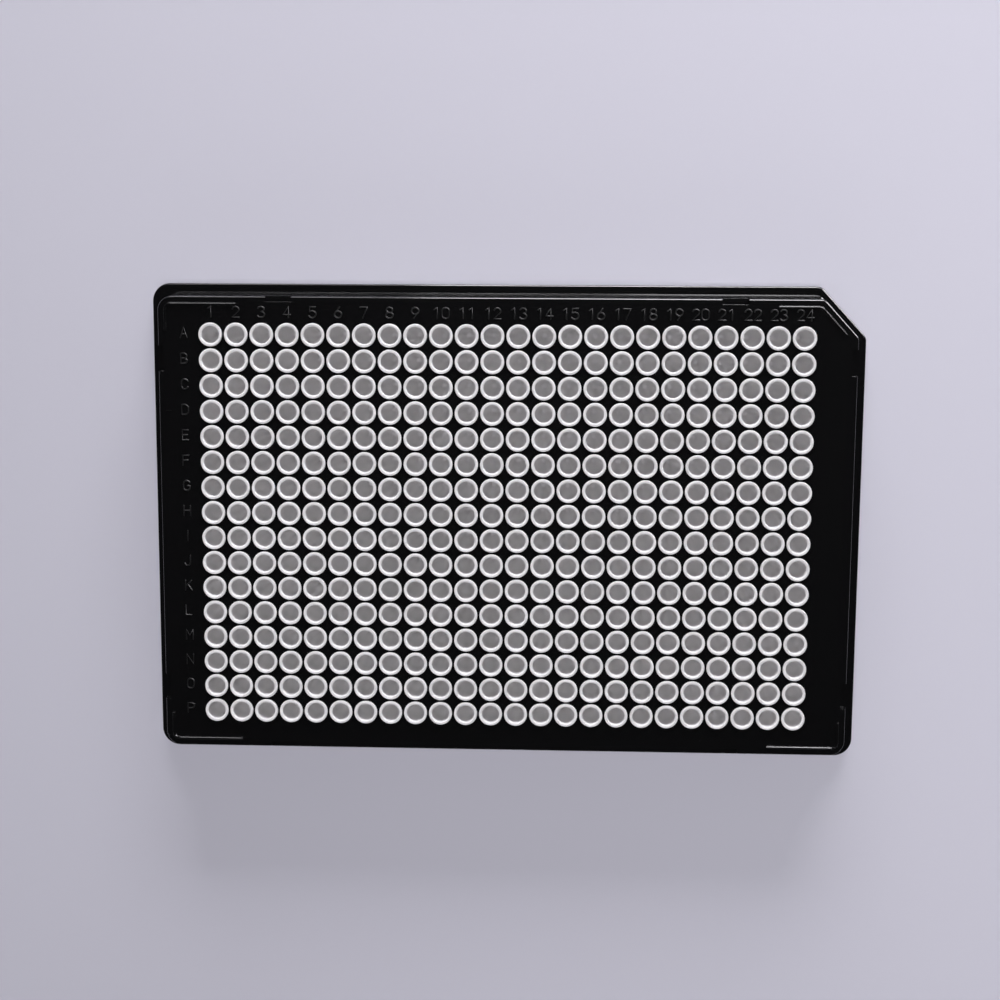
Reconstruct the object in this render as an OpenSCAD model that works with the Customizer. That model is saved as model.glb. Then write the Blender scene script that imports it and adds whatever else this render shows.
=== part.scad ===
// Skirted 384-well thermal cycling plate: a stiff shell with thin-walled wells moulded through its deck.
// Millimetres. The origin is the middle of the footprint on the resting plane. +X runs along the rows of
// wells, +Y points at row A, and +Z is up. The cut corner lies at +X +Y.

/* [Footprint] */
// Length of the foot along X
plate_l = 127.76; // [126:0.01:132]
// Width of the foot along Y
plate_w = 85.48; // [84:0.01:92]
// Height from the resting plane to the tops of the rims
plate_h = 10.4; // [9.6:0.1:16]
// Radius of the foot's three round corners
foot_r = 3.2; // [1:0.1:6]
// Length that the cut corner takes off the long side
cut_x = 8.2; // [5:0.1:11]
// Length that the cut corner takes off the short side
cut_y = 8.9; // [5:0.1:11]
// Radius where the cut corner meets each side
cut_r = 1.8; // [1.6:0.1:4]

/* [Shell] */
// Wall thickness of the skirt
shell_wall = 1.3; // [0.8:0.1:1.5]
// Thickness of the deck
deck_t = 1.2; // [0.8:0.1:2]
// Height of the foot's flange
flange_h = 2.4; // [2:0.1:4]
// Step from the foot in to the upper wall, on the short sides
ledge_x = 2.2; // [1.6:0.1:3]
// Step from the foot in to the upper wall, on the long sides
ledge_y = 1.7; // [1.4:0.1:2.5]
// Step from the foot in to the upper wall, across the cut corner
ledge_cut = 1.4; // [1:0.1:2]
// How far the upper wall leans in from its foot to its top
lean = 0.6; // [0.2:0.05:0.8]
// Corner radius of the upper wall at its foot
body_r = 3.2; // [2.8:0.1:5]
// Width of the sloping band where the upper wall meets the flange
foot_band = 0.2; // [0.1:0.05:0.5]
// Height of that band
foot_rise = 0.15; // [0.1:0.05:0.5]
// Rounding of the outer edges
edge_r = 0.3; // [0.1:0.05:0.4]

/* [Corner ribs] */
// Height of the stacking ribs above the deck
rib_h = 0.3; // [0.2:0.05:0.35]
// Width of a rib
rib_w = 0.5; // [0.3:0.05:0.6]
// Inset of a rib's middle line from the deck's edge
rib_in = 1.35; // [1.2:0.05:1.6]
// Radius of the middle line where a rib bends
rib_r = 1.1; // [0.6:0.1:1.5]
// Reach of a rib along the long side, from the end of the foot
rib_reach_x = 16.7; // [12:0.1:19]
// Reach of a rib along the short side, from the side of the foot
rib_reach_y = 8.4; // [7:0.1:9]

/* [Edge notches] */
// Length of a notch along its side
notch_l = 4.6; // [2:0.1:6]
// Depth of a notch in from the deck's edge
notch_in = 0.95; // [0.5:0.05:1.2]
// Depth of a notch below the deck
notch_down = 1.6; // [1:0.1:3]
// Middle of a long side's notch, from the end of the foot
notch_x = 24.1; // [22.5:0.1:40]
// Middle of a short side's notch, from the side of the foot
notch_y = 13.2; // [12.5:0.1:20]

/* [Well array] */
// Columns of wells, along X
columns = 24; // [2:1:24]
// Rows of wells, along Y
rows = 16; // [2:1:16]
// Distance between the axes of neighbouring wells
pitch = 4.5; // [4.4:0.05:4.7]

/* [Well] */
// Inner radius of the mouth
mouth_r = 1.5; // [1.2:0.01:1.55]
// Depth of the nearly straight upper bore, below the rim
bore_d = 4.2; // [3:0.1:5.5]
// How much the inner radius shrinks down the upper bore
bore_taper = 0.08; // [0.02:0.01:0.2]
// Inner radius of the rounded bottom
tip_r = 0.6; // [0.4:0.01:0.8]
// Wall thickness of the cone and bottom
well_wall = 0.3; // [0.2:0.01:0.35]
// Wall thickness of the neck in the deck
neck_wall = 0.33; // [0.25:0.01:0.36]
// Height of the lowest point of a well above the resting plane
tip_lift = 0.9; // [0.3:0.1:1.5]
// Height of the rim above the deck
rim_h = 0.4; // [0.35:0.05:0.8]
// How far the rim stands out over the deck
rim_over = 0.25; // [0.1:0.01:0.28]
// Rounding of the rim's inner lip
lip_r = 0.3; // [0.1:0.05:0.3]
// Rounding of the rim's outer edge
bead_r = 0.16; // [0.05:0.01:0.2]
// Thickness of the web that joins the wells under the deck
web_t = 0.5; // [0.3:0.05:0.8]
// Reach of the web past the axes of the outermost wells
web_reach = 2.6; // [2:0.1:3]
// Play between a neck and its hole in the deck
mould_gap = 0.02; // [0:0.01:0.05]

/* [Hidden] */

// Overshoot of a cutting solid past the face that it opens
over = 1;
// Depth to which a well's neck takes in the edge of the web, and the deck the foot of a rib
bite = 0.15;
// How far the neck's full width runs on below the web
neck_foot = 0.3;
// Half angle of the small flat at the middle of a well's rounded bottom
flat_turn = 20;

// Heights of the main faces, from the top down
deck_top = plate_h - rim_h;
deck_low = deck_top - deck_t;
web_low = deck_low - web_t;
bore_low = plate_h - bore_d;
tip_z = tip_lift + well_wall + tip_r;

// Radii that follow the mouth
neck_r = mouth_r + neck_wall;
rim_r = neck_r + rim_over;
bore_r = mouth_r - bore_taper;

// Insets from the foot's outline: [from the short sides, from the long sides, from the cut corner]
foot_in = [0, 0, 0];
wall_in = [ledge_x, ledge_y, ledge_cut];
wall_top_in = inward(wall_in, lean);
rib_line = inward(wall_top_in, rib_in);

// Half sizes of the deck's edge, and how far from the middle the ribs end
edge_x = plate_l / 2 - wall_top_in.x;
edge_y = plate_w / 2 - wall_top_in.y;
rib_end_x = plate_l / 2 - rib_reach_x;
rib_end_y = plate_w / 2 - rib_reach_y;

// The cut corner as a line: its outward direction, and how far it lies from the origin
cut_dir = [cut_y, cut_x] / norm([cut_x, cut_y]);
cut_far = cut_dir * [plate_l / 2 - cut_x, plate_w / 2];

function inward(inset, d) = [inset.x + d, inset.y + d, inset.z + d];

// Points on a circle between two angles
function arc(centre, r, from, to, steps) =
    [for (i = [0 : steps]) let (a = from + (to - from) * i / steps) centre + r * [cos(a), sin(a)]];

// Angle at which a slanting line from a point touches a circle that is centred on the axis
function touch_angle(point, centre_z, r) =
    90 - atan2(point.x, point.y - centre_z) - acos(r / norm([point.x, point.y - centre_z]));

// Centres of the five corner posts of an inset outline: three round corners, then both ends of the cut
function round_posts(inset, r) =
    let (x = plate_l / 2 - inset.x - r, y = plate_w / 2 - inset.y - r)
    [[-x, y], [-x, -y], [x, -y]];

function cut_posts(inset, r) =
    let (x = plate_l / 2 - inset.x - r, y = plate_w / 2 - inset.y - r, far = cut_far - inset.z - r)
    [[(far - y * cut_dir.y) / cut_dir.x, y], [x, (far - x * cut_dir.x) / cut_dir.y]];

// A block with the foot's outline. Each corner post is a revolved profile, whose side follows the list
// of [z, growth] pairs: how much wider than its nominal radius the outline is at each height.
module outline_block(inset, r, r_cut, side) {
    hull() {
        for (p = round_posts(inset, r)) translate(p) post(r, side);
        for (p = cut_posts(inset, r_cut)) translate(p) post(r_cut, side);
    }
}

module post(r, side) {
    top = side[len(side) - 1][0];
    rotate_extrude($fn = 40)
        polygon(concat([[0, side[0][0]]], [for (s = side) [r + s[1], s[0]]], [[0, top]]));
}

// Side of a block that ends in a rounded top edge, where the side stands at growth g
function rounded_top(z, g) = [for (p = arc([g - edge_r, z - edge_r], edge_r, 0, 90, 4)) [p.y, p.x]];

module foot() {
    outline_block(foot_in, foot_r, cut_r, concat([[0, 0]], rounded_top(flange_h, 0)));
}

module foot_band() {
    outline_block(wall_in, body_r, cut_r, [[0, foot_band], [flange_h, foot_band], [flange_h + foot_rise, 0]]);
}

module upper_block() {
    outline_block(wall_in, body_r, cut_r, concat([[flange_h, 0]], rounded_top(deck_top, -lean)));
}

module foot_hollow() {
    inset = inward(foot_in, shell_wall);
    outline_block(inset, foot_r, cut_r, [[-over, 0], [flange_h - shell_wall, 0]]);
}

module upper_hollow() {
    inset = inward(wall_in, shell_wall);
    outline_block(inset, body_r, cut_r, [[-over, 0], [flange_h, 0], [deck_low, -lean]]);
}

// Cross-section of a rib, with its rounded top, as it crosses the deck's surface at y = 0
module rib_section() {
    top = arc([0, rib_h - rib_w / 2], rib_w / 2, 0, 180, 12);
    polygon(concat([[rib_w / 2, -bite]], top, [[-rib_w / 2, -bite]]));
}

// Straight stretch of a rib between two points of its middle line
module rib_run(from, to) {
    way = to - from;
    translate([from.x, from.y, deck_top]) rotate([90, 0, atan2(way.y, way.x) + 90])
        linear_extrude(norm(way)) rib_section();
}

// Bend of a rib round a corner post, anticlockwise from an angle
module rib_bend(post, from, turn) {
    translate([post.x, post.y, deck_top]) rotate([0, 0, from])
        rotate_extrude(angle = turn, $fn = 64) translate([rib_r, 0]) rib_section();
}

// The ribs that keep a plate stacked on this one in place: an L in each round corner, and one that turns
// down the cut corner
module corner_ribs() {
    posts = round_posts(rib_line, rib_r);
    for (i = [0 : len(posts) - 1]) {
        p = posts[i];
        line = [p.x + sign(p.x) * rib_r, p.y + sign(p.y) * rib_r];
        rib_run([sign(p.x) * rib_end_x, line.y], [p.x, line.y]);
        rib_bend(p, 90 * (i + 1), 90);
        rib_run([line.x, p.y], [line.x, sign(p.y) * rib_end_y]);
    }
    cut_post = cut_posts(rib_line, rib_r)[0];
    cut_turn = atan2(cut_dir.x, cut_dir.y);
    cut_start = cut_post + rib_r * cut_dir;
    cut_run = (cut_start.y - rib_end_y) / cut_dir.x;
    rib_run([rib_end_x, cut_post.y + rib_r], [cut_post.x, cut_post.y + rib_r]);
    rib_bend(cut_post, 90 - cut_turn, cut_turn);
    rib_run(cut_start, cut_start + cut_run * [cut_dir.y, -cut_dir.x]);
}

module notches() {
    for (sx = [-1, 1], sy = [-1, 1]) {
        translate([sx * (plate_l / 2 - notch_x), sy * edge_y, deck_top])
            cube([notch_l, 2 * notch_in, 2 * notch_down], center = true);
        translate([sx * edge_x, sy * (plate_w / 2 - notch_y), deck_top])
            cube([2 * notch_in, notch_l, 2 * notch_down], center = true);
    }
}

// Puts a copy of its child on the axis of every well
module each_well() {
    for (column = [0 : columns - 1], row = [0 : rows - 1])
        translate([(column - (columns - 1) / 2) * pitch, ((rows - 1) / 2 - row) * pitch, 0])
            children();
}

module shell() {
    color([0.03, 0.03, 0.035])
    difference() {
        union() {
            foot();
            foot_band();
            upper_block();
            corner_ribs();
        }
        foot_hollow();
        upper_hollow();
        notches();
        each_well() translate([0, 0, deck_low - over])
            cylinder(r = neck_r + mould_gap, h = deck_t + 2 * over, $fn = 48);
    }
}

// Rounded bottom of a well: an arc from a small flat on the axis round to the angle where the cone leaves it
function bottom(r, turn) =
    let (ring = arc([0, tip_z], r, -90 + flat_turn, turn, 3))
    concat([[0, ring[0].y]], ring);

// Section of one well's wall, from its axis out and up the outside, over the rim and down the bore
module well_section() {
    outer_turn = touch_angle([bore_r + well_wall, bore_low], tip_z, tip_r + well_wall);
    inner_turn = touch_angle([bore_r, bore_low], tip_z, tip_r);
    inner_bottom = bottom(tip_r, inner_turn);
    polygon(concat(
        bottom(tip_r + well_wall, outer_turn),
        [[bore_r + well_wall, bore_low], [neck_r, web_low - neck_foot]],
        [[neck_r, deck_top], [rim_r, deck_top]],
        arc([rim_r - bead_r, plate_h - bead_r], bead_r, 0, 90, 3),
        arc([mouth_r + lip_r, plate_h - lip_r], lip_r, 90, 180, 4),
        [[bore_r, bore_low]],
        [for (i = [len(inner_bottom) - 1 : -1 : 0]) inner_bottom[i]]
    ));
}

module web() {
    translate([0, 0, web_low]) linear_extrude(web_t) difference() {
        square([(columns - 1) * pitch + 2 * web_reach, (rows - 1) * pitch + 2 * web_reach], center = true);
        each_well() circle(r = neck_r - bite, $fn = 48);
    }
}

module wells() {
    color([0.93, 0.93, 0.94]) {
        web();
        each_well() rotate_extrude($fn = 48) well_section();
    }
}

shell();
wells();
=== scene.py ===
"""Dresses a skirted well plate: moulded plastic finishes, raised index marks, and a plain pale stage."""

import math

import bmesh
import bpy
from mathutils import Matrix, Vector


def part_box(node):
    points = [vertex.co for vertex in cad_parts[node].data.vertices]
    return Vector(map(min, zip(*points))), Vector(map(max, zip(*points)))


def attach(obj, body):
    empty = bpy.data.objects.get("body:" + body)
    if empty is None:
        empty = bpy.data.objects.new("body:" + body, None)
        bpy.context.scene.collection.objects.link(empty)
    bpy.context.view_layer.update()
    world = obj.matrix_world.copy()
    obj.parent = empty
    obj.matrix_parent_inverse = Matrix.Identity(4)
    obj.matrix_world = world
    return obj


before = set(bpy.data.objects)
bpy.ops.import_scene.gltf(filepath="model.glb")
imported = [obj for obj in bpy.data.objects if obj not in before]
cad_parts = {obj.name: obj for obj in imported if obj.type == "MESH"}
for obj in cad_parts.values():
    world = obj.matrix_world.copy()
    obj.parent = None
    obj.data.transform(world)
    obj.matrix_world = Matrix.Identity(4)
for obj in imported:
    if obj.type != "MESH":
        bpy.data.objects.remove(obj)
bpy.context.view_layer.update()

bl_info = {
    "name": "Skirted Well Plate",
    "version": (1, 0, 0),
    "blender": (4, 5, 0),
    "location": "View3D > Sidebar > Well Plate",
    "description": "Moulded finishes, raised index marks and a pale stage for a skirted well plate",
    "category": "Object",
}

BODY = "root"
SHELL = "shell"
WELLS = "wells"

MM = 0.001
PLATE_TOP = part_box(WELLS)[1].z


# ---------------------------------------------------------------- settings


class ShellSettings(bpy.types.PropertyGroup):
    """Finish of the black shell"""

    colour: bpy.props.FloatVectorProperty(
        name="Colour",
        description="Colour of the shell's plastic",
        subtype="COLOR",
        size=3,
        min=0.0,
        max=1.0,
        default=(0.0030, 0.0030, 0.0033),
    )
    roughness: bpy.props.FloatProperty(
        name="Roughness",
        description="How dull the flat faces are",
        subtype="FACTOR",
        min=0.0,
        max=1.0,
        default=0.18,
    )
    edge_roughness: bpy.props.FloatProperty(
        name="Edge Roughness",
        description="How dull the rounded edges and the ribs are",
        subtype="FACTOR",
        min=0.0,
        max=1.0,
        default=0.10,
    )
    edge: bpy.props.FloatProperty(
        name="Edge Softness",
        description="Radius over which sharp moulded edges catch the light",
        unit="LENGTH",
        min=0.0,
        default=0.08 * MM,
    )


class WellSettings(bpy.types.PropertyGroup):
    """Finish of the white wells"""

    colour: bpy.props.FloatVectorProperty(
        name="Colour",
        description="Colour of the wells' plastic",
        subtype="COLOR",
        size=3,
        min=0.0,
        max=1.0,
        default=(0.858, 0.846, 0.846),
    )
    roughness: bpy.props.FloatProperty(
        name="Roughness",
        description="How dull the wells are",
        subtype="FACTOR",
        min=0.0,
        max=1.0,
        default=0.42,
    )


class MarkSettings(bpy.types.PropertyGroup):
    """Raised column numbers and row letters"""

    columns: bpy.props.IntProperty(
        name="Columns",
        description="How many columns are numbered",
        min=1,
        default=24,
    )
    rows: bpy.props.IntProperty(
        name="Rows",
        description="How many rows are lettered",
        min=1,
        max=16,
        default=16,
    )
    pitch: bpy.props.FloatProperty(
        name="Pitch",
        description="Distance between the axes of neighbouring wells",
        unit="LENGTH",
        default=4.5 * MM,
    )
    rim_height: bpy.props.FloatProperty(
        name="Rim Height",
        description="Height of the rims above the deck that carries the marks",
        unit="LENGTH",
        default=0.4 * MM,
    )
    digit_height: bpy.props.FloatProperty(
        name="Number Height",
        description="Height of a column number, along the middle lines of its strokes",
        unit="LENGTH",
        default=1.85 * MM,
    )
    letter_height: bpy.props.FloatProperty(
        name="Letter Height",
        description="Height of a row letter, along the middle lines of its strokes",
        unit="LENGTH",
        default=1.75 * MM,
    )
    digit_offset: bpy.props.FloatProperty(
        name="Number Offset",
        description="Distance from the first row's axes to the middle of the numbers",
        unit="LENGTH",
        default=3.97 * MM,
    )
    letter_offset: bpy.props.FloatProperty(
        name="Letter Offset",
        description="Distance from the first column's axes to the middle of the letters",
        unit="LENGTH",
        default=4.75 * MM,
    )
    letter_shift: bpy.props.FloatProperty(
        name="Letter Shift",
        description="How far the letters lie past their rows' axes, towards row A",
        unit="LENGTH",
        default=0.3 * MM,
    )
    stroke: bpy.props.FloatProperty(
        name="Stroke",
        description="Width of the raised strokes, which are half round",
        unit="LENGTH",
        default=0.24 * MM,
    )
    colour: bpy.props.FloatVectorProperty(
        name="Colour",
        description="Colour of the satin marks, which scatter a little more light than the deck",
        subtype="COLOR",
        size=3,
        min=0.0,
        max=1.0,
        default=(0.0075, 0.0075, 0.008),
    )
    roughness: bpy.props.FloatProperty(
        name="Roughness",
        description="How dull the marks are, as an engraved mould leaves them",
        subtype="FACTOR",
        min=0.0,
        max=1.0,
        default=0.30,
    )


class StageSettings(bpy.types.PropertyGroup):
    """Table, lamps and camera"""

    table_colour: bpy.props.FloatVectorProperty(
        name="Table Colour",
        description="Colour of the table under the plate",
        subtype="COLOR",
        size=3,
        min=0.0,
        max=1.0,
        default=(0.672, 0.666, 0.75),
    )
    # Painted light: this slope and its spread lift the table's colour towards +X and +Y and lower it away
    # from them, in place of the lamps' falloff.
    painted_light_slope: bpy.props.FloatVectorProperty(
        name="Table Slope",
        description="How much brighter the table gets with each metre along X and along Y",
        size=2,
        default=(0.96, 0.40),
    )
    painted_light_spread: bpy.props.FloatProperty(
        name="Table Spread",
        description="The most that this slope adds or takes",
        min=0.0,
        max=0.3,
        default=0.2,
    )
    backdrop: bpy.props.FloatVectorProperty(
        name="Backdrop",
        description="Colour that the far table and the room fade to, for views from the side",
        subtype="COLOR",
        size=3,
        min=0.0,
        max=1.0,
        default=(0.56, 0.545, 0.62),
    )
    key_power: bpy.props.FloatProperty(
        name="Key Lamp",
        description="Power of the low lamp past row A",
        unit="POWER",
        default=7.2,
    )
    front_power: bpy.props.FloatProperty(
        name="Front Lamp",
        description="Power of the weak lamp past the last row",
        unit="POWER",
        default=0.7,
    )
    top_power: bpy.props.FloatProperty(
        name="Top Lamp",
        description="Power of the soft lamp overhead, which lights the wells to their bottoms",
        unit="POWER",
        default=4.8,
    )
    strip_level: bpy.props.FloatProperty(
        name="Strip Level",
        description="Brightness of all the mirrored strips, as a share of what each is set to",
        min=0.0,
        default=1.0,
    )
    camera_spot: bpy.props.FloatVectorProperty(
        name="Camera Place",
        description="Where the camera stands",
        subtype="TRANSLATION",
        size=3,
        default=(8.9 * MM, 38.9 * MM, 270.9 * MM),
    )
    camera_aim: bpy.props.FloatVectorProperty(
        name="Camera Aim",
        description="The point on the table that the camera looks at",
        subtype="TRANSLATION",
        size=3,
        default=(-1.15 * MM, 3.75 * MM, 0.0),
    )
    camera_roll: bpy.props.FloatProperty(
        name="Camera Roll",
        description="Turn of the camera about its line of sight",
        subtype="ANGLE",
        default=math.radians(-0.35),
    )
    camera_lens: bpy.props.FloatProperty(
        name="Lens",
        description="Focal length in millimetres",
        min=1.0,
        default=53.7,
    )


# ---------------------------------------------------------------- finishes


# Noises of the moulded skin, in waves a metre. The rubs are a noise drawn out along one slanting direction,
# kept only where it peaks, and they dull the gloss where they cut in.
PATCH_SCALE = 60.0
GRAIN_SCALE = 9000.0
RUB_SCALE = 160.0
RUB_TURN = math.radians(24.0)
RUB_STRETCH = 26.0
RUB_PEAK = (0.66, 0.78)
RUB_DULLING = 0.35
# Shares of a plastic's colour between which its patches drift
DRIFT = (0.94, 1.05)
# An edge is a face that slopes. Each pair gives the Z of a normal where the edge's finish starts and where it
# is full: the first counts from upright walls, and the second from flat faces.
PAST_WALLS = (0.35, 0.55)
PAST_FLATS = (0.985, 0.96)
EDGE_SAMPLES = 6


def feed(tree, node, inputs):
    """Links each input of a node to the socket that is given for it, or sets it to the plain value."""
    for key, value in inputs.items():
        if isinstance(value, bpy.types.NodeSocket):
            tree.links.new(value, node.inputs[key])
        else:
            node.inputs[key].default_value = value


def add(tree, kind, inputs=None, **settings):
    """A new node with these settings, and with its inputs fed."""
    node = tree.nodes.new(kind)
    for name, value in settings.items():
        setattr(node, name, value)
    feed(tree, node, inputs or {})
    return node


def maths(tree, operation, first, second):
    """The result of an operation on two values, each a socket or a number."""
    return add(tree, "ShaderNodeMath", {0: first, 1: second}, operation=operation).outputs["Value"]


def noise(tree, place, scale, detail, roughness=0.5):
    """A noise from 0 to 1, at this place of the surface."""
    inputs = {"Vector": place, "Scale": scale, "Detail": detail, "Roughness": roughness}
    return add(tree, "ShaderNodeTexNoise", inputs).outputs["Fac"]


def ramp(tree, value, start, end, low=0.0, high=1.0, course="LINEAR"):
    """Runs from low, where a value is at start, to high, where it is at end."""
    inputs = {"Value": value, "From Min": start, "From Max": end, "To Min": low, "To Max": high}
    return add(tree, "ShaderNodeMapRange", inputs, interpolation_type=course).outputs["Result"]


def moulded_skin():
    """The skin of a moulded part: slow flow patches, fine grain and hairline rubs."""
    group = bpy.data.node_groups.new("moulded_skin", "ShaderNodeTree")
    face = group.interface
    for name, default in (("Roughness", 0.3), ("Patch Spread", 0.1), ("Grain", 0.5), ("Rubs", 0.2)):
        face.new_socket(name, in_out="INPUT", socket_type="NodeSocketFloat").default_value = default
    for name in ("Roughness", "Height", "Patches"):
        face.new_socket(name, in_out="OUTPUT", socket_type="NodeSocketFloat")
    given = add(group, "NodeGroupInput").outputs
    place = add(group, "ShaderNodeTexCoord").outputs["Object"]

    patches = noise(group, place, PATCH_SCALE, detail=4.0, roughness=0.55)
    grain = noise(group, place, GRAIN_SCALE, detail=2.0)
    drawn_out = {"Vector": place, "Rotation": (0.0, 0.0, RUB_TURN), "Scale": (1.0, RUB_STRETCH, RUB_STRETCH)}
    slant = add(group, "ShaderNodeMapping", drawn_out).outputs["Vector"]
    streaks = noise(group, slant, RUB_SCALE, detail=2.0)
    rubs = maths(group, "MULTIPLY", ramp(group, streaks, *RUB_PEAK), given["Rubs"])

    spread = maths(group, "MULTIPLY", maths(group, "SUBTRACT", patches, 0.5), given["Patch Spread"])
    drifting = maths(group, "ADD", given["Roughness"], spread)
    rough = maths(group, "ADD", drifting, maths(group, "MULTIPLY", rubs, RUB_DULLING))
    height = maths(group, "SUBTRACT", maths(group, "MULTIPLY", grain, given["Grain"]), rubs)
    add(group, "NodeGroupOutput", {"Roughness": rough, "Height": height, "Patches": patches})
    return group


def edge_share(tree, normal):
    """1 where a surface slopes, as rounded edges and ribs do, and 0 on flat faces and upright walls."""
    up = add(tree, "ShaderNodeSeparateXYZ", {"Vector": normal}).outputs["Z"]
    return maths(tree, "MULTIPLY", ramp(tree, up, *PAST_WALLS), ramp(tree, up, *PAST_FLATS))


def plastic(name, colour, skin, relief, edge=0.0, edge_roughness=0.0):
    """A moulded plastic whose colour and gloss drift a little over the surface. Skin holds what the moulded
    skin's inputs are set to here, and relief is its depth. Given an edge radius, sharp edges look softened
    and all edges look burnished."""
    material = bpy.data.materials.new(name)
    material.use_nodes = True
    tree = material.node_tree
    shared = bpy.data.node_groups.get("moulded_skin") or moulded_skin()
    surface = add(tree, "ShaderNodeGroup", skin, node_tree=shared).outputs
    dark, pale = [(*[min(1.0, part * share) for part in colour], 1.0) for share in DRIFT]
    tint = add(tree, "ShaderNodeMix", {"Factor": surface["Patches"], "A": dark, "B": pale}, data_type="RGBA")
    rough = surface["Roughness"]
    bump = add(tree, "ShaderNodeBump", {"Height": surface["Height"], "Distance": relief})
    if edge > 0.0:
        soft = add(tree, "ShaderNodeBevel", {"Radius": edge}, samples=EDGE_SAMPLES).outputs["Normal"]
        feed(tree, bump, {"Normal": soft})
        burnish = {"Factor": edge_share(tree, soft), "A": rough, "B": edge_roughness}
        rough = add(tree, "ShaderNodeMix", burnish, data_type="FLOAT").outputs["Result"]
    feed(tree, tree.nodes["Principled BSDF"], {
        "Base Color": tint.outputs["Result"],
        "Roughness": rough,
        "Normal": bump.outputs["Normal"],
    })
    return material


def shell_material(settings):
    """Black and satin, with faint rubs and burnished edges."""
    skin = {"Roughness": settings.roughness, "Patch Spread": 0.06, "Grain": 0.5, "Rubs": 0.25}
    return plastic("shell_gloss", settings.colour, skin, relief=0.0015 * MM, edge=settings.edge,
                   edge_roughness=settings.edge_roughness)


def well_material(settings):
    """White and duller, and thin enough for light to spread in it."""
    skin = {"Roughness": settings.roughness, "Patch Spread": 0.08, "Grain": 0.6, "Rubs": 0.0}
    made = plastic("well_satin", settings.colour, skin, relief=0.002 * MM)
    feed(made.node_tree, made.node_tree.nodes["Principled BSDF"], {
        "IOR": 1.49,
        "Subsurface Weight": 0.25,
        "Subsurface Radius": (1.0, 0.95, 0.9),
        "Subsurface Scale": 0.5 * MM,
    })
    return made


def mark_material(settings):
    """Black and a little duller than the deck. The numbers and the letters share it."""
    made = bpy.data.materials.get("mark_satin")
    if made:
        return made
    skin = {"Roughness": settings.roughness, "Patch Spread": 0.06, "Grain": 0.8, "Rubs": 0.0}
    return plastic("mark_satin", settings.colour, skin, relief=0.002 * MM)


def dress(node, material):
    """Gives a moulding its finish in place of the plain colour that it came with."""
    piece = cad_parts[node]
    piece.data.materials.clear()
    piece.data.materials.append(material)


# ---------------------------------------------------------------- index marks


# Strokes of each mark on a grid 6 wide and 10 high. A pair is a point, and six numbers are an arc: its
# centre, its radii, and the angles in degrees where it starts and ends.
GRID_WIDE = 6.0
GRID_HIGH = 10.0
STROKES = {
    "0": [[(3, 7, 3, 3, 0, 180), (3, 3, 3, 3, 180, 360), (6, 7)]],
    "1": [[(1.2, 8.2), (3.6, 10), (3.6, 0)]],
    "2": [[(3, 7.1, 2.8, 2.9, 165, -38), (0, 0), (6, 0)]],
    "3": [[(2.8, 7.6, 2.7, 2.4, 155, -90), (2.8, 2.6, 3, 2.6, 90, -155)]],
    "4": [[(4.4, 0), (4.4, 10), (0, 2.8), (6, 2.8)]],
    "5": [[(5.4, 10), (0.9, 10), (0.5, 5.7), (2.9, 3.2, 3.1, 3.2, 125, -150)]],
    "6": [[(4.3, 10), (0.5, 4.8), (3, 3.1, 3, 3.1, 145, 505)]],
    "7": [[(0, 10), (6, 10), (2.2, 0)]],
    "8": [[(3, 7.6, 2.5, 2.4, -90, 270)], [(3, 2.6, 3, 2.6, 90, 450)]],
    "9": [[(1.7, 0), (5.5, 5.2), (3, 6.9, 3, 3.1, -35, 325)]],
    "A": [[(0, 0), (3, 10), (6, 0)], [(1.1, 3.5), (4.9, 3.5)]],
    "B": [[(0, 0), (0, 10), (3.1, 7.6, 2.4, 2.4, 90, -90), (0, 5.2)],
          [(3.1, 2.6, 2.9, 2.6, 90, -90), (0, 0)]],
    "C": [[(3.1, 7, 2.9, 3, 20, 180), (3.1, 3, 2.9, 3, 180, 340)]],
    "D": [[(0, 0), (0, 10), (2.6, 6.6, 3.4, 3.4, 90, 0), (2.6, 3.4, 3.4, 3.4, 0, -90), (0, 0)]],
    "E": [[(5.4, 10), (0, 10), (0, 0), (5.4, 0)], [(0, 5.2), (4.6, 5.2)]],
    "F": [[(5.4, 10), (0, 10), (0, 0)], [(0, 5.2), (4.6, 5.2)]],
    "G": [[(3.1, 7, 2.9, 3, 25, 180), (3.1, 3, 2.9, 3, 180, 360), (6, 4.8), (3.6, 4.8)]],
    "H": [[(0, 0), (0, 10)], [(6, 0), (6, 10)], [(0, 5.2), (6, 5.2)]],
    "I": [[(3, 0), (3, 10)]],
    "J": [[(5, 10), (2.4, 3, 2.6, 3, 0, -165)]],
    "K": [[(0, 0), (0, 10)], [(5.6, 10), (0, 4)], [(2, 6.1), (6, 0)]],
    "L": [[(0, 10), (0, 0), (5.2, 0)]],
    "M": [[(0, 0), (0, 10), (3, 4.4), (6, 10), (6, 0)]],
    "N": [[(0, 0), (0, 10), (6, 0), (6, 10)]],
    "O": [[(3, 7, 3, 3, 0, 180), (3, 3, 3, 3, 180, 360), (6, 7)]],
    "P": [[(0, 0), (0, 10), (3.1, 7.3, 2.9, 2.7, 90, -90), (0, 4.6)]],
}
# How much wider than this grid the marks are drawn
WIDEN = 1.12
# Degrees between the points of an arc, and the distance within which two points are taken as one
ARC_STEP = 15.0
SAME_POINT = 0.05
# Room between two digits, and depth of a stroke's foot in the deck, both in stroke widths
DIGIT_GAP = 1.55
FOOT = 0.2
# Steps round a stroke, and the angles at which its round tip is drawn, from full width to nearly a point
ROUND_STEPS = 4
TIP_TURNS = [math.radians(turn) for turn in (25.0, 50.0, 72.0, 88.0)]


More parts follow.
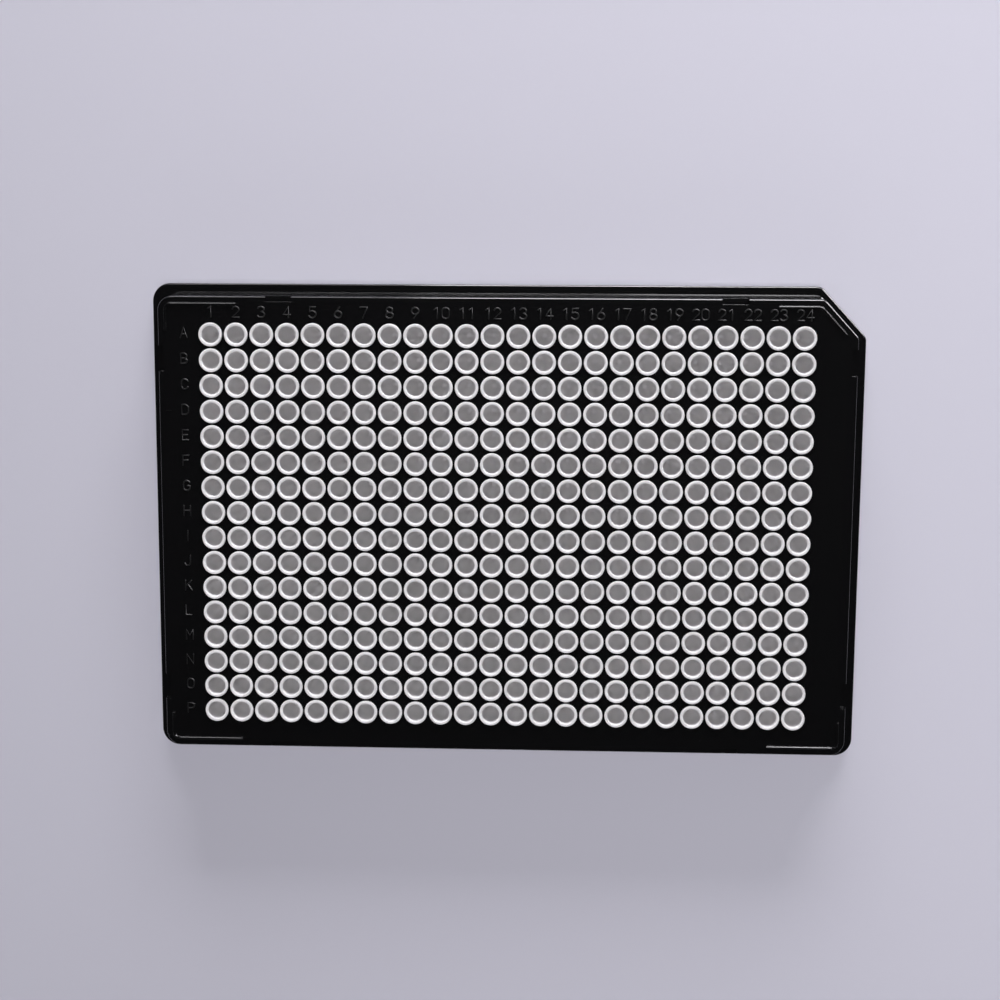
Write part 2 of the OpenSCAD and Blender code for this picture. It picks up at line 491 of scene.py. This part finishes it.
def stroke_points(parts):
    """Points along a stroke, with its arcs drawn out in short steps."""
    points = []
    for part in parts:
        if len(part) == 2:
            points.append(Vector(part))
            continue
        x, y, wide, high, start, end = part
        steps = max(1, round(abs(end - start) / ARC_STEP))
        for i in range(steps + 1):
            angle = math.radians(start + (end - start) * i / steps)
            points.append(Vector((x + wide * math.cos(angle), y + high * math.sin(angle))))
    kept = points[:1]
    for point in points[1:]:
        if (point - kept[-1]).length > SAME_POINT:
            kept.append(point)
    return kept


def round_tip(end, inner, radius):
    """The (point, share of the full width) pairs past a stroke's end, from the end outwards."""
    way = (end - inner).normalized()
    return [(end + way * radius * math.sin(turn), math.cos(turn)) for turn in TIP_TURNS]


def round_ends(points, radius):
    """A stroke's (point, share of its full width) pairs, with a round tip at each end of an open stroke."""
    pairs = [(point, 1.0) for point in points]
    if (points[0] - points[-1]).length < SAME_POINT * radius:
        return pairs
    first = round_tip(points[0], points[1], radius)
    last = round_tip(points[-1], points[-2], radius)
    return [*reversed(first), *pairs, *last]


def raised_mark(text, height, stroke):
    """Mesh of one raised mark, as an engraver's round cutter leaves it in the mould: centred, with the
    middle lines of its strokes at z = 0."""
    unit = Vector((WIDEN, 1.0)) * height / GRID_HIGH
    wide = GRID_WIDE * unit.x
    advance = wide + DIGIT_GAP * stroke
    start = -(wide + advance * (len(text) - 1)) / 2
    tubes = bpy.data.curves.new("mark", "CURVE")
    tubes.dimensions = "3D"
    tubes.bevel_depth = stroke / 2
    tubes.bevel_resolution = ROUND_STEPS
    tubes.use_fill_caps = True
    for i, letter in enumerate(text):
        corner = Vector((start + i * advance, -height / 2))
        for parts in STROKES[letter]:
            points = [point * unit + corner for point in stroke_points(parts)]
            pairs = round_ends(points, stroke / 2)
            line = tubes.splines.new("POLY")
            line.points.add(len(pairs) - 1)
            for spot, (point, share) in zip(line.points, pairs):
                spot.co = (point.x, point.y, 0.0, 1.0)
                spot.radius = share
    holder = bpy.data.objects.new("mark", tubes)
    bpy.context.scene.collection.objects.link(holder)
    bpy.context.view_layer.update()
    mesh = bpy.data.meshes.new_from_object(holder)
    bpy.data.objects.remove(holder)
    bpy.data.curves.remove(tubes)
    return mesh


def mark_row(name, labels, deck, height, stroke, material):
    """Joins one raised mark for each (text, x, y) label into one piece of the shell, cut off just inside
    the deck."""
    joined = bmesh.new()
    for text, x, y in labels:
        mark = raised_mark(text, height, stroke)
        mark.transform(Matrix.Translation((x, y, deck)))
        joined.from_mesh(mark)
        bpy.data.meshes.remove(mark)
    everything = [*joined.verts, *joined.edges, *joined.faces]
    foot = (0, 0, deck - FOOT * stroke)
    bmesh.ops.bisect_plane(joined, geom=everything, plane_co=foot, plane_no=(0, 0, 1), clear_inner=True)
    mesh = bpy.data.meshes.new(name)
    joined.to_mesh(mesh)
    joined.free()
    for face in mesh.polygons:
        face.use_smooth = True
    mesh.materials.clear()
    mesh.materials.append(material)
    piece = bpy.data.objects.new(name, mesh)
    bpy.context.scene.collection.objects.link(piece)
    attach(piece, BODY)


# ---------------------------------------------------------------- stage


LAMP_COLOUR = (0.98, 0.965, 1.0)
# Soft lamps, which light the plate: name, the setting with their power, place, width and height in metres
LAMPS = (
    ("key_lamp", "key_power", (0.06, 0.80, 0.20), 0.60, 0.24),
    ("front_lamp", "front_power", (0.0, -0.75, 0.25), 0.9, 0.3),
    ("top_lamp", "top_power", (0.0, 0.0, 0.9), 0.55, 0.55),
)
# Thin strips, which gloss mirrors: name, place, width and height in metres, and brightness. Each stands
# where a sloping face of the deck's edge, of the foot or of a rib mirrors it up to the camera.
STRIPS = (
    ("edge_strip", (0.16, 0.733, 0.297), 0.52, 0.05, 36.0),
    ("edge_strip_left", (-0.275, 0.733, 0.297), 0.35, 0.05, 8.0),
    ("foot_strip", (0.25, 0.76, 0.22), 0.40, 0.05, 5.5),
    ("rib_strip", (0.16, 0.57, 0.54), 0.52, 0.05, 28.0),
    ("rib_strip_left", (-0.275, 0.57, 0.54), 0.35, 0.05, 14.0),
    ("far_strip", (0.16, 0.60, 0.403), 0.52, 0.05, 36.0),
    ("far_strip_left", (-0.275, 0.60, 0.403), 0.35, 0.05, 13.0),
    ("cut_strip", (0.70, 0.49, 0.176), 0.30, 0.12, 30.0),
    ("bend_strip", (0.40, 0.42, 0.49), 0.28, 0.07, 60.0),
)
# Half the table's side, and the distances from the plate between which it fades to the backdrop, in metres
TABLE_REACH = 4.0
TABLE_FADE = (0.2, 0.6)
# The room's colour, its strength at the walls and at the ceiling, and the Z of the directions where it starts
# and ends fading from one to the other
ROOM_COLOUR = (0.98, 0.97, 1.0)
WALL_LEVEL = 0.13
CEILING_LEVEL = 0.02
ROOM_FADE = (0.05, 0.75)
# The camera's sensor in millimetres, and its near limit in metres
SENSOR_WIDTH = 36.0
NEAR_LIMIT = 0.01


def lamp(name, place, width, height, power, meets):
    """An area lamp that faces the plate. One that meets "matt" surfaces lights them but isn't mirrored, as
    if through crossed polarisers; one that meets "gloss" is a card that is only mirrored."""
    light = bpy.data.lights.new(name, "AREA")
    light.shape = "RECTANGLE"
    light.size = width
    light.size_y = height
    light.energy = power
    light.color = LAMP_COLOUR
    holder = bpy.data.objects.new(name, light)
    holder.location = place
    holder.rotation_euler = (-Vector(place)).to_track_quat("-Z", "Y").to_euler()
    holder.visible_glossy = meets == "gloss"
    holder.visible_diffuse = meets == "matt"
    bpy.context.scene.collection.objects.link(holder)


def finish_tree(tree, output, lit, plain, share):
    """Ends a tree with a lit shader, of which a plain one takes this share."""
    blend = add(tree, "ShaderNodeMixShader", {0: share, 1: lit, 2: plain})
    feed(tree, tree.nodes[output], {"Surface": blend.outputs["Shader"]})


def table_material(colour, slope, spread, backdrop):
    """A pale satin whose colour has painted light on it: it brightens a little towards one corner, as the
    lamps' falloff would light it. Far from the plate, where the lamps don't reach, the camera sees the
    backdrop's colour instead."""
    material = bpy.data.materials.new("table_satin")
    material.use_nodes = True
    tree = material.node_tree
    place = add(tree, "ShaderNodeTexCoord").outputs["Object"]
    # Painted light: the table's colour is made brighter towards +X and +Y and darker away from them, standing
    # in for the lamps' falloff.
    painted_light_climb = add(tree, "ShaderNodeVectorMath", {0: place, 1: (*slope, 0.0)}, operation="DOT_PRODUCT")
    level = ramp(tree, painted_light_climb.outputs["Value"], -spread, spread, 1.0 - spread, 1.0 + spread)
    painted_light_colour = add(tree, "ShaderNodeVectorMath", {0: colour, "Scale": level}, operation="SCALE")
    satin = tree.nodes["Principled BSDF"]
    feed(tree, satin, {"Base Color": painted_light_colour.outputs["Vector"], "Roughness": 0.75, "Specular IOR Level": 0.2})

    distance = add(tree, "ShaderNodeVectorMath", {0: place}, operation="LENGTH").outputs["Value"]
    far = ramp(tree, distance, *TABLE_FADE, course="SMOOTHSTEP")
    by_camera = add(tree, "ShaderNodeLightPath").outputs["Is Camera Ray"]
    glow = add(tree, "ShaderNodeEmission", {"Color": (*backdrop, 1.0)}).outputs["Emission"]
    finish_tree(tree, "Material Output", satin.outputs["BSDF"], glow, maths(tree, "MULTIPLY", far, by_camera))
    return material


def table(material):
    """A flat table, much larger than the plate."""
    mesh = bpy.data.meshes.new("table_top")
    corners = [(x * TABLE_REACH, y * TABLE_REACH, 0) for x, y in ((-1, -1), (1, -1), (1, 1), (-1, 1))]
    mesh.from_pydata(corners, [], [(0, 1, 2, 3)])
    mesh.materials.append(material)
    top = bpy.data.objects.new("table_top", mesh)
    bpy.context.scene.collection.objects.link(top)


def room(backdrop):
    """Pale walls near the horizon, fading to a dark ceiling, so that the flat deck stays black. The camera
    sees the plain backdrop."""
    world = bpy.data.worlds.new("studio")
    world.use_nodes = True
    tree = world.node_tree
    way = add(tree, "ShaderNodeTexCoord").outputs["Generated"]
    up = add(tree, "ShaderNodeSeparateXYZ", {"Vector": way}).outputs["Z"]
    level = ramp(tree, up, *ROOM_FADE, WALL_LEVEL, CEILING_LEVEL, course="SMOOTHSTEP")
    walls = tree.nodes["Background"]
    feed(tree, walls, {"Color": (*ROOM_COLOUR, 1.0), "Strength": level})
    plain = add(tree, "ShaderNodeBackground", {"Color": (*backdrop, 1.0)}).outputs["Background"]
    by_camera = add(tree, "ShaderNodeLightPath").outputs["Is Camera Ray"]
    finish_tree(tree, "World Output", walls.outputs["Background"], plain, by_camera)
    bpy.context.scene.world = world


def camera(place, aim, roll, lens):
    """The scene's camera, upright along +Y and then turned by its roll."""
    view = bpy.data.cameras.new("plate_camera")
    view.sensor_width = SENSOR_WIDTH
    view.lens = lens
    view.clip_start = NEAR_LIMIT
    holder = bpy.data.objects.new("plate_camera", view)
    sight = (Vector(aim) - Vector(place)).normalized()
    up = (Vector((0, 1, 0)) - sight * sight.y).normalized()
    right = sight.cross(up)
    turned_up = up * math.cos(roll) + right * math.sin(roll)
    turned_right = sight.cross(turned_up)
    pose = Matrix((turned_right, turned_up, -sight)).transposed().to_4x4()
    pose.translation = Vector(place)
    holder.matrix_world = pose
    bpy.context.scene.collection.objects.link(holder)
    bpy.context.scene.camera = holder


# ---------------------------------------------------------------- operators


class PLATE_OT_dress_shell(bpy.types.Operator):
    """Give the shell its black moulded finish"""

    bl_idname = "plate.dress_shell"
    bl_label = "Dress Shell"

    def execute(self, context):
        dress(SHELL, shell_material(context.scene.plate_shell))
        return {"FINISHED"}


class PLATE_OT_dress_wells(bpy.types.Operator):
    """Give the wells their white moulded finish"""

    bl_idname = "plate.dress_wells"
    bl_label = "Dress Wells"

    def execute(self, context):
        dress(WELLS, well_material(context.scene.plate_wells))
        return {"FINISHED"}


class PLATE_OT_number_columns(bpy.types.Operator):
    """Raise a number above each column of wells"""

    bl_idname = "plate.number_columns"
    bl_label = "Number Columns"

    def execute(self, context):
        marks = context.scene.plate_marks
        middle = (marks.columns - 1) / 2
        line = (marks.rows - 1) / 2 * marks.pitch + marks.digit_offset
        labels = [(str(i + 1), (i - middle) * marks.pitch, line) for i in range(marks.columns)]
        mark_row("column_numbers", labels, PLATE_TOP - marks.rim_height, marks.digit_height, marks.stroke,
                 mark_material(marks))
        return {"FINISHED"}


class PLATE_OT_letter_rows(bpy.types.Operator):
    """Raise a letter beside each row of wells"""

    bl_idname = "plate.letter_rows"
    bl_label = "Letter Rows"

    def execute(self, context):
        marks = context.scene.plate_marks
        middle = (marks.rows - 1) / 2
        line = -(marks.columns - 1) / 2 * marks.pitch - marks.letter_offset
        labels = [(chr(ord("A") + i), line, (middle - i) * marks.pitch + marks.letter_shift)
                  for i in range(marks.rows)]
        mark_row("row_letters", labels, PLATE_TOP - marks.rim_height, marks.letter_height, marks.stroke,
                 mark_material(marks))
        return {"FINISHED"}


class PLATE_OT_set_stage(bpy.types.Operator):
    """Lay the plate on a pale table under soft lamps, and place the camera over it"""

    bl_idname = "plate.set_stage"
    bl_label = "Set Stage"

    def execute(self, context):
        stage = context.scene.plate_stage
        table(table_material(stage.table_colour, stage.painted_light_slope, stage.painted_light_spread, stage.backdrop))
        room(stage.backdrop)
        for name, setting, place, width, height in LAMPS:
            lamp(name, place, width, height, getattr(stage, setting), "matt")
        for name, place, width, height, level in STRIPS:
            power = math.pi * width * height * level * stage.strip_level
            lamp(name, place, width, height, power, "gloss")
        camera(stage.camera_spot, stage.camera_aim, stage.camera_roll, stage.camera_lens)
        context.scene.view_settings.view_transform = "Standard"
        return {"FINISHED"}


class PLATE_PT_sidebar(bpy.types.Panel):
    """Lists the steps that dress the plate"""

    bl_idname = "PLATE_PT_sidebar"
    bl_label = "Well Plate"
    bl_space_type = "VIEW_3D"
    bl_region_type = "UI"
    bl_category = "Well Plate"

    def draw(self, context):
        for step in STEPS:
            self.layout.operator(step.bl_idname)


STEPS = (
    PLATE_OT_dress_shell,
    PLATE_OT_dress_wells,
    PLATE_OT_number_columns,
    PLATE_OT_letter_rows,
    PLATE_OT_set_stage,
)
SETTINGS = {
    "plate_shell": ShellSettings,
    "plate_wells": WellSettings,
    "plate_marks": MarkSettings,
    "plate_stage": StageSettings,
}


def register():
    for cls in (*SETTINGS.values(), *STEPS, PLATE_PT_sidebar):
        bpy.utils.register_class(cls)
    for name, group in SETTINGS.items():
        setattr(bpy.types.Scene, name, bpy.props.PointerProperty(type=group))


def unregister():
    for name in SETTINGS:
        delattr(bpy.types.Scene, name)
    for cls in (PLATE_PT_sidebar, *reversed(STEPS), *reversed(SETTINGS.values())):
        bpy.utils.unregister_class(cls)


def main():
    register()
    bpy.ops.plate.dress_shell()
    bpy.ops.plate.dress_wells()
    bpy.ops.plate.number_columns()
    bpy.ops.plate.letter_rows()
    bpy.ops.plate.set_stage()


if __name__ == "__main__":
    main()
